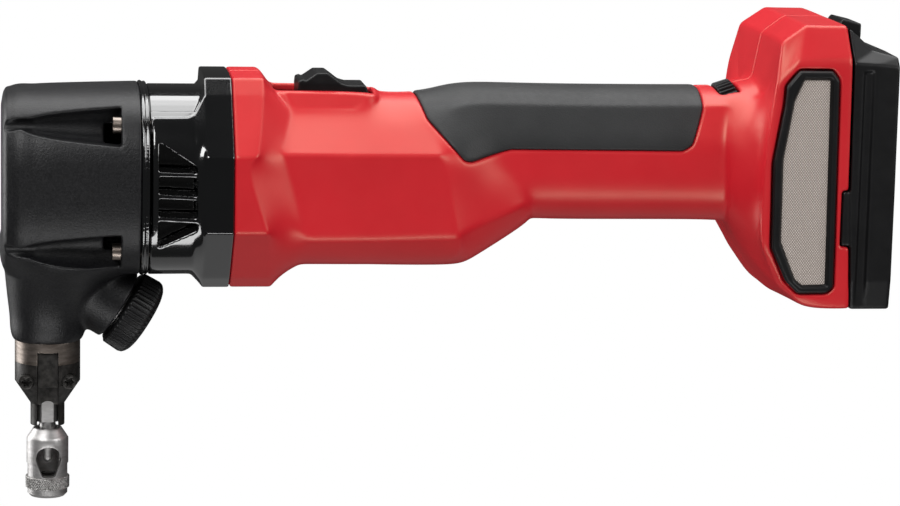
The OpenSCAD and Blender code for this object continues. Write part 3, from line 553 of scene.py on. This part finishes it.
def fan_housing():
    volume = Volume((32, -40, 74), (65, 40, 155), detail(0.35))
    x, y, z = volume.x, volume.y, volume.z
    points, quads = skin(FAN_RINGS, FAN_RIDGES, FAN_LIPS)
    surface = volume.of_mesh(points, None, quads)
    above = both(both(-volume.prism(SIDE_PANEL, 2), 100 - z), x - 53.4)
    outline = [(py, MOTOR_Z + pz) for py, pz in squircle(33, 32.6, 2.4, 64)]
    crown = polygon_distance(outline, y[0], z[0])[None]
    body = less(surface, both(above, -crown))
    body = less(body, surface + 3.2)
    for sy, sz in HEAD_SCREWS:
        post = both(both(np.hypot(np.abs(y) - sy, z - sz) - 5, x - 49.5), surface + 0.6)
        body = less(either(body, post), both(np.hypot(np.abs(y) - sy, z - sz) - 2.05, x - 48.5))
    for outline in VENTS:
        body = less(body, both(volume.prism(outline, 1), 20 - np.abs(y)))
    body = less(body, both(np.hypot(y, z - MOTOR_Z) - MOTOR_BORE, x - 36.6))
    body = volume.softened(both(body, both(34.55 - x, x - SHELL_FRONT + 0.05)), 1)
    stand_for(volume.piece(body, "fan_housing_moulding", 150000), "fan_housing")


def seal():
    """The rubber ring between the head and the fan housing: two beads side by side."""
    volume = Volume((30, -39, 79), (36, 39, 150), detail(0.25))
    x, y, z = volume.x, volume.y, volume.z
    profile = [(31.5, -1.2), (31.55, -0.1), (31.75, 0.3), (32.2, 0.5), (32.65, 0.42), (32.95, 0.1),
               (33.1, -0.25), (33.3, 0), (33.65, 0.25), (34.05, 0.15), (34.35, -0.2), (34.5, -1.2)]
    ring = volume.of_mesh(*closed_loft([
        [(px, py, MOTOR_Z + pz) for py, pz in squircle(36 + grow, 32.8 + grow, 2.9, 160)]
        for px, grow in profile]))
    ring = less(ring, np.hypot(y, z - MOTOR_Z) - MOTOR_BORE)
    for sy, sz in HEAD_SCREWS:
        ring = less(ring, np.hypot(np.abs(y) - sy, z - sz) - SCREW_BORE)
    stand_for(volume.piece(ring, "seal_ring", 90000), "head_seal")


# ---------------------------------------------------------------- turned and ribbed parts
def turned(name, profile, columns, ripple, ring=False):
    """A solid of revolution about local Z in millimetres. profile rows are (z, radius, ripple share)."""
    loops = []
    for height, radius, share in profile:
        loop = []
        for c in range(columns):
            a = 2 * math.pi * c / columns
            r = radius + share * ripple(a, height)
            loop.append((r * math.cos(a), r * math.sin(a), height))
        loops.append(loop)
    points, corners = closed_loft(loops, ring)
    mesh = bpy.data.meshes.new(name)
    mesh.from_pydata((points * MM).tolist(), [], corners.tolist())
    piece = bpy.data.objects.new(name, mesh)
    bpy.context.scene.collection.objects.link(piece)
    made = bmesh.new()
    made.from_mesh(mesh)
    bmesh.ops.recalc_face_normals(made, faces=made.faces)
    made.to_mesh(mesh)
    made.free()
    mesh.shade_smooth()
    even_normals(piece)
    return piece


def placed(piece, place, tilt):
    """Moves a piece made about local Z onto an axis tilted from +Z towards +X."""
    piece.data.transform(Matrix.Translation(Vector(place) * MM) @ Matrix.Rotation(tilt, 4, "Y"))


def ribs(a, height):
    """Forty-eight rounded ribs with flat valleys."""
    return max(-0.5, math.cos(48 * a))


def knob():
    profile = [(6, 3.2, 0), (0, 3.2, 0), (0, 11.8, 0), (0.25, 12.9, 0), (0.8, 13.3, 0.2), (1.2, 13.6, 1),
               (4, 13.75, 1), (7.2, 13.9, 1), (8.3, 13.6, 0.9), (9.1, 13, 0.5), (9.8, 12, 0.15),
               (10.2, 10.8, 0), (10.35, 9.4, 0), (10.1, 8.6, 0), (10.0, 4, 0), (10.0, 1, 0)]
    piece = turned("knob_moulding", profile, 480, lambda a, height: ribs(a, height) * 0.4)
    placed(piece, KNOB_PLACE, KNOB_TILT)
    stand_for(piece, "clamp_knob")


def dial():
    profile = [(3.2, 3.05, 0), (-3.2, 3.05, 0), (-3.2, 15.4, 0), (-3.0, 16, 0.2), (-2.6, 16.3, 1),
               (2.6, 16.3, 1), (3.0, 16, 0.2), (3.2, 15.4, 0)]
    piece = turned("dial_moulding", profile, 576, lambda a, height: ribs(a, height) * 0.55, True)
    placed(piece, DIAL_PLACE, DIAL_TILT)
    stand_for(piece, "speed_dial")


def knurled_collar():
    def knurl(a, height):
        return -0.32 * (abs(math.sin(32 * a + 2.6 * height)) * abs(math.sin(32 * a - 2.6 * height))) ** 0.6

    rows = [(2.9, 7.1, 0), (2.9, 7.4, 0), (3.15, 7.75, 0)]
    rows += [(3.2 + 0.15 * i, 7.8, 1) for i in range(25)]
    rows += [(6.95, 7.75, 0), (7.2, 7.4, 0), (7.2, 7.1, 0)]
    piece = turned("collar_knurled", rows, 512, knurl, True)
    stand_for(piece, "die_collar")


# ---------------------------------------------------------------- filters
def filter_frame():
    """The far filter's frame: a rounded rim that slopes in to the mesh."""
    volume = Volume((248, 34, 76), (277, 42, 161), detail(0.3))
    y = volume.y
    outer = volume.prism(FRAME_OUTLINE, 4)
    inner = volume.prism(MESH_OUTLINE, 4)
    rim = both(both(outer + 0.15, -inner), both(35.7 - y, y - 40.9))
    slope_out = (outer + 0.15) * 0.83 + (y - 40.9) * 0.55 + 0.55
    slope_in = -inner * 0.83 + (y - 40.9) * 0.55 + 0.8
    rim = both(rim, both(slope_out, slope_in))
    groove = both(both(outer + 0.15, 1.6 - inner), y - 38.4)
    return volume, less(rim, groove)


def filters():
    for side in ("near", "far"):
        volume, rim = filter_frame()
        piece = volume.piece(volume.softened(rim, 1), "filter_frame_%s_moulding" % side, 60000)
        if side == "near":
            mirrored(piece)
        stand_for(piece, "filter_frame_" + side)


# ---------------------------------------------------------------- other mouldings, from the CAD nodes
def node_moulding(node, step, passes, faces):
    low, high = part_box(node)
    volume = Volume([v / MM - 2 for v in low], [v / MM + 2 for v in high], detail(step))
    stand_for(volume.piece(volume.softened(volume.of_node(node), passes), node + "_moulding", faces), node)


# ---------------------------------------------------------------- materials
class Nodes:
    """Short calls for building one material's node tree. Lengths are metres, in the part's own frame."""

    def __init__(self, name, base, rough, metallic=0.0):
        self.material = bpy.data.materials.new(name)
        self.material.use_nodes = True
        self.tree = self.material.node_tree
        self.shader = self.tree.nodes["Principled BSDF"]
        self.shader.inputs["Base Color"].default_value = (*base, 1)
        self.shader.inputs["Roughness"].default_value = rough
        self.shader.inputs["Metallic"].default_value = metallic
        self.coords = self.tree.nodes.new("ShaderNodeTexCoord").outputs["Object"]
        self.height = None

    def link(self, out, into):
        self.tree.links.new(out, into)

    def node(self, kind, **values):
        made = self.tree.nodes.new(kind)
        for key, value in values.items():
            if key in made.inputs:
                made.inputs[key].default_value = value
            else:
                setattr(made, key, value)
        return made

    def mapped(self, stretch=(1, 1, 1), turn=(0, 0, 0)):
        mapping = self.node("ShaderNodeMapping")
        mapping.inputs["Scale"].default_value = stretch
        mapping.inputs["Rotation"].default_value = turn
        self.link(self.coords, mapping.inputs["Vector"])
        return mapping.outputs["Vector"]

    def noise(self, scale, detail=3.0, rough=0.55, stretch=(1, 1, 1)):
        made = self.node("ShaderNodeTexNoise", Scale=scale, Detail=detail, Roughness=rough)
        self.link(self.mapped(stretch), made.inputs["Vector"])
        return made.outputs["Fac"]

    def cells(self, scale):
        made = self.node("ShaderNodeTexVoronoi", Scale=scale)
        self.link(self.coords, made.inputs["Vector"])
        return made.outputs["Distance"]

    def bands(self, pitch, turn):
        """Even stripes of that pitch in metres."""
        made = self.node("ShaderNodeTexWave", Scale=math.pi / 10 / pitch)
        self.link(self.mapped(turn=turn), made.inputs["Vector"])
        return made.outputs["Fac"]

    def combined(self, operation, a, b):
        made = self.node("ShaderNodeMath", operation=operation)
        self.link(a, made.inputs[0])
        self.link(b, made.inputs[1])
        return made.outputs["Value"]

    def ramp(self, factor, low, high, low_at=0.35, high_at=0.65):
        made = self.node("ShaderNodeValToRGB")
        made.color_ramp.elements[0].position = low_at
        made.color_ramp.elements[0].color = (*low, 1)
        made.color_ramp.elements[1].position = high_at
        made.color_ramp.elements[1].color = (*high, 1)
        self.link(factor, made.inputs["Fac"])
        return made.outputs["Color"]

    def colour(self, factor, low, high, low_at=0.35, high_at=0.65):
        self.link(self.ramp(factor, low, high, low_at, high_at), self.shader.inputs["Base Color"])

    def roughness(self, factor, low, high):
        made = self.node("ShaderNodeMapRange")
        made.inputs["To Min"].default_value = low
        made.inputs["To Max"].default_value = high
        self.link(factor, made.inputs["Value"])
        self.link(made.outputs["Result"], self.shader.inputs["Roughness"])

    def bump(self, factor, strength, distance):
        made = self.node("ShaderNodeBump", Strength=strength, Distance=distance)
        self.link(factor, made.inputs["Height"])
        if self.height is not None:
            self.link(self.height, made.inputs["Normal"])
        self.height = made.outputs["Normal"]
        self.link(self.height, self.shader.inputs["Normal"])


def red_shell():
    m = Nodes("red_shell", (0.50, 0.010, 0.020), 0.36)
    m.shader.inputs["Specular IOR Level"].default_value = 0.62
    m.shader.inputs["Specular Tint"].default_value = (1.0, 0.88, 0.64, 1)
    m.colour(m.noise(35, 4), (0.49, 0.009, 0.018), (0.53, 0.011, 0.021))
    m.roughness(m.noise(160, 5), 0.33, 0.41)
    m.bump(m.noise(2600, 2), 0.08, 0.00006)
    return m.material


def grip_rubber():
    m = Nodes("grip_rubber", (0.0165, 0.017, 0.0175), 0.54)
    m.shader.inputs["Specular IOR Level"].default_value = 0.34
    m.colour(m.noise(60, 4), (0.014, 0.0145, 0.015), (0.019, 0.0195, 0.020))
    m.roughness(m.noise(400, 3), 0.46, 0.62)
    m.bump(m.cells(1700), 0.45, 0.00010)
    m.bump(m.noise(3200, 2), 0.2, 0.00005)
    return m.material


def head_coat():
    m = Nodes("head_coat", (0.005, 0.005, 0.006), 0.43)
    m.shader.inputs["Specular IOR Level"].default_value = 0.34
    m.colour(m.noise(1400, 3), (0.002, 0.002, 0.0026), (0.008, 0.008, 0.009))
    m.roughness(m.noise(700, 4), 0.34, 0.52)
    m.bump(m.noise(1500, 3, 0.6), 0.6, 0.00020)
    return m.material


def gloss_black():
    m = Nodes("gloss_black", (0.003, 0.0032, 0.0035), 0.12)
    m.shader.inputs["Specular IOR Level"].default_value = 1.0
    m.shader.inputs["Coat Weight"].default_value = 1.0
    m.shader.inputs["Coat IOR"].default_value = 1.5
    m.shader.inputs["Coat Roughness"].default_value = 0.08
    m.roughness(m.noise(120, 4), 0.10, 0.17)
    m.bump(m.noise(90, 1), 0.04, 0.0003)
    return m.material


def satin_black():
    m = Nodes("satin_black", (0.004, 0.004, 0.0043), 0.40)
    m.shader.inputs["Specular IOR Level"].default_value = 0.3
    m.colour(m.noise(70, 3), (0.003, 0.003, 0.0033), (0.005, 0.005, 0.0054))
    m.roughness(m.noise(300, 4), 0.34, 0.46)
    m.bump(m.noise(2200, 2), 0.18, 0.00007)
    return m.material


def black_oxide():
    m = Nodes("black_oxide", (0.03, 0.028, 0.027), 0.38, 0.7)
    m.colour(m.noise(500, 4), (0.018, 0.017, 0.016), (0.05, 0.047, 0.044))
    m.roughness(m.noise(350, 4), 0.3, 0.5)
    m.bump(m.noise(1800, 3), 0.2, 0.00006)
    return m.material


def turned_steel(name, low, high, rough_low, rough_high):
    """Steel turned about Z: fine rings across the axis."""
    m = Nodes(name, high, rough_high, 1.0)
    m.colour(m.noise(180, 5, 0.6, (1, 1, 4)), low, high)
    m.roughness(m.noise(240, 4, 0.5, (1, 1, 9)), rough_low, rough_high)
    m.bump(m.noise(500, 3, 0.6, (0.4, 0.4, 14)), 0.18, 0.00005)
    return m.material


def rough_steel():
    m = Nodes("rough_steel", (0.3, 0.29, 0.28), 0.5, 1.0)
    m.colour(m.noise(1100, 3), (0.20, 0.195, 0.19), (0.42, 0.41, 0.40))
    m.roughness(m.noise(900, 3), 0.35, 0.55)
    m.bump(m.noise(1600, 3), 0.3, 0.00008)
    return m.material


def filter_weave():
    """A fine slanting weave of pale and dark threads."""
    m = Nodes("filter_mesh", (0.4, 0.36, 0.33), 0.7)
    threads = m.combined("MULTIPLY", m.bands(0.0007, (0, math.radians(38), 0)),
                         m.bands(0.0007, (0, math.radians(-38), 0)))
    m.colour(threads, (0.22, 0.18, 0.16), (0.60, 0.54, 0.49), 0.05, 0.6)
    m.roughness(m.noise(300, 3), 0.55, 0.75)
    m.bump(threads, 0.6, 0.00025)
    return m.material


def grained_metal(name, low, high, rough):
    m = Nodes(name, high, rough, 1.0)
    m.colour(m.noise(400, 4), low, high)
    m.roughness(m.noise(300, 3), rough - 0.08, rough + 0.1)
    m.bump(m.noise(1500, 3), 0.25, 0.00008)
    return m.material


def moulded_plastic(name, low, high, rough):
    m = Nodes(name, high, rough)
    m.colour(m.noise(200, 4), low, high)
    m.roughness(m.noise(300, 3), rough - 0.06, rough + 0.08)
    m.bump(m.noise(1800, 2), 0.2, 0.00008)
    return m.material


MATERIALS = {
    "red_shell": red_shell(),
    "grip_rubber": grip_rubber(),
    "head_coat": head_coat(),
    "gloss_black": gloss_black(),
    "satin_black": satin_black(),
    "black_oxide": black_oxide(),
    "bright_steel": turned_steel("bright_steel", (0.40, 0.39, 0.385), (0.54, 0.53, 0.525), 0.40, 0.54),
    "warm_steel": turned_steel("warm_steel", (0.17, 0.14, 0.12), (0.30, 0.26, 0.23), 0.3, 0.45),
    "rough_steel": rough_steel(),
    "filter_mesh": filter_weave(),
    "bronze": grained_metal("bronze", (0.42, 0.24, 0.10), (0.62, 0.38, 0.18), 0.4),
    "copper": grained_metal("copper", (0.45, 0.15, 0.06), (0.72, 0.30, 0.14), 0.35),
    "cast_alloy": grained_metal("cast_alloy", (0.48, 0.48, 0.49), (0.64, 0.64, 0.65), 0.45),
    "lamination": turned_steel("lamination", (0.14, 0.14, 0.15), (0.30, 0.30, 0.31), 0.4, 0.6),
    "pot_green": moulded_plastic("pot_green", (0.03, 0.16, 0.09), (0.06, 0.26, 0.14), 0.45),
    "wire_red": moulded_plastic("wire_red", (0.42, 0.03, 0.02), (0.55, 0.06, 0.04), 0.5),
    "contact": grained_metal("contact", (0.62, 0.46, 0.20), (0.80, 0.64, 0.34), 0.3),
}


EDGE_BEVEL = 0.00015
STOOD_FOR = set()


def dress(piece, slot):
    piece.data.materials.clear()
    piece.data.materials.append(MATERIALS[slot])


def stand_for(piece, node):
    """The piece takes the CAD node's place, body and finish."""
    dress(piece, SLOT_OF[node])
    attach(piece, BODY_OF[node])
    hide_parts(node)
    STOOD_FOR.add(node)


def finish_node(node):
    """A CAD node that stays: welded shading, small bevels and its own material."""
    piece = NODES[node]
    weld = piece.modifiers.new("weld", "WELD")
    weld.merge_threshold = 1e-6
    edge = piece.modifiers.new("bevel", "BEVEL")
    edge.width = EDGE_BEVEL
    edge.segments = 2
    edge.limit_method = "ANGLE"
    edge.angle_limit = math.radians(35)
    edge.use_clamp_overlap = True
    for face in piece.data.polygons:
        face.use_smooth = True
    even_normals(piece)
    dress(piece, SLOT_OF[node])


# ---------------------------------------------------------------- camera, light and stage
CAMERA_AZIMUTH = math.radians(8)
CAMERA_ELEVATION = math.radians(10)
CAMERA_ROLL = math.radians(1.3)
CAMERA_TARGET = Vector((0.1430, 0.0, 0.0871))
CAMERA_DISTANCE = 1.146
CAMERA_LENS = 128


def make_camera():
    """A long lens near the side view, rolled a little so that the tool leans clockwise."""
    data = bpy.data.cameras.new("camera")
    data.lens = CAMERA_LENS
    data.sensor_width = 36
    camera = bpy.data.objects.new("camera", data)
    bpy.context.scene.collection.objects.link(camera)
    a, e = CAMERA_AZIMUTH, CAMERA_ELEVATION
    ahead = Vector((math.sin(a) * math.cos(e), math.cos(a) * math.cos(e), -math.sin(e)))
    level_right = Vector((math.cos(a), -math.sin(a), 0))
    level_up = level_right.cross(ahead)
    c, s = math.cos(CAMERA_ROLL), math.sin(CAMERA_ROLL)
    right = c * level_right + s * level_up
    up = c * level_up - s * level_right
    turn = Matrix((right, up, -ahead)).transposed().to_4x4()
    camera.matrix_world = Matrix.Translation(CAMERA_TARGET - CAMERA_DISTANCE * ahead) @ turn
    bpy.context.scene.camera = camera


def area_light(name, place, target, width, height, radiance):
    data = bpy.data.lights.new(name, "AREA")
    data.shape = "RECTANGLE"
    data.size = width
    data.size_y = height
    data.energy = radiance * width * height * math.pi
    light = bpy.data.objects.new(name, data)
    light.location = place
    light.rotation_euler = (Vector(target) - Vector(place)).to_track_quat("-Z", "Y").to_euler()
    bpy.context.scene.collection.objects.link(light)


def around(azimuth, elevation, distance):
    """A place round the middle of the tool; azimuth 0 is in front of the near side, 90 is behind the foot."""
    turn, lift = math.radians(azimuth), math.radians(elevation)
    across = Vector((math.sin(turn) * math.cos(lift), -math.cos(turn) * math.cos(lift), math.sin(lift)))
    return MIDDLE + distance * across


def make_stage():
    """A white surround that only the camera sees, a dim room and six soft lights."""
    bpy.context.scene.view_settings.view_transform = "Standard"
    world = bpy.data.worlds.new("studio")
    world.use_nodes = True
    world.node_tree.nodes["Background"].inputs["Color"].default_value = (1, 1, 1, 1)
    world.node_tree.nodes["Background"].inputs["Strength"].default_value = 0.04
    bpy.context.scene.world = world
    made = bmesh.new()
    bmesh.ops.create_icosphere(made, subdivisions=3, radius=12)
    mesh = bpy.data.meshes.new("backdrop")
    made.to_mesh(mesh)
    made.free()
    backdrop = bpy.data.objects.new("backdrop", mesh)
    bpy.context.scene.collection.objects.link(backdrop)
    white = Nodes("backdrop_white", (0, 0, 0), 1.0)
    white.shader.inputs["Emission Color"].default_value = (1, 1, 1, 1)
    white.shader.inputs["Emission Strength"].default_value = 1.0
    mesh.materials.append(white.material)
    backdrop.visible_diffuse = False
    backdrop.visible_glossy = False
    backdrop.visible_transmission = False
    backdrop.visible_shadow = False
    area_light("overhead", (0.14, 0.38, 1.1), (0.14, 0.38, 0.1), 1.9, 1.05, 4.0)
    area_light("left_front", around(-36, 36, 1.5), MIDDLE, 0.9, 0.7, 8)
    area_light("right_front", around(52, 22, 1.5), MIDDLE, 0.9, 0.8, 4.6)
    area_light("left_rear", around(-115, 8, 1.3), MIDDLE, 0.8, 1.2, 4.5)
    area_light("front_low", around(-10, -42, 1.5), MIDDLE, 1.4, 0.5, 5)
    area_light("below", (0.15, 0.2, -0.6), (0.15, 0, 0.1), 1.6, 0.7, 0.3)


# ---------------------------------------------------------------- everything
housing()
head()
fan_housing()
seal()
knob()
dial()
knurled_collar()
filters()
node_moulding("battery_interface", 0.4, 2, 140000)
node_moulding("latch_block", 0.25, 2, 30000)
node_moulding("switch_slider", 0.25, 3, 40000)

for node in NODES:
    if node not in STOOD_FOR:
        finish_node(node)

make_camera()
make_stage()
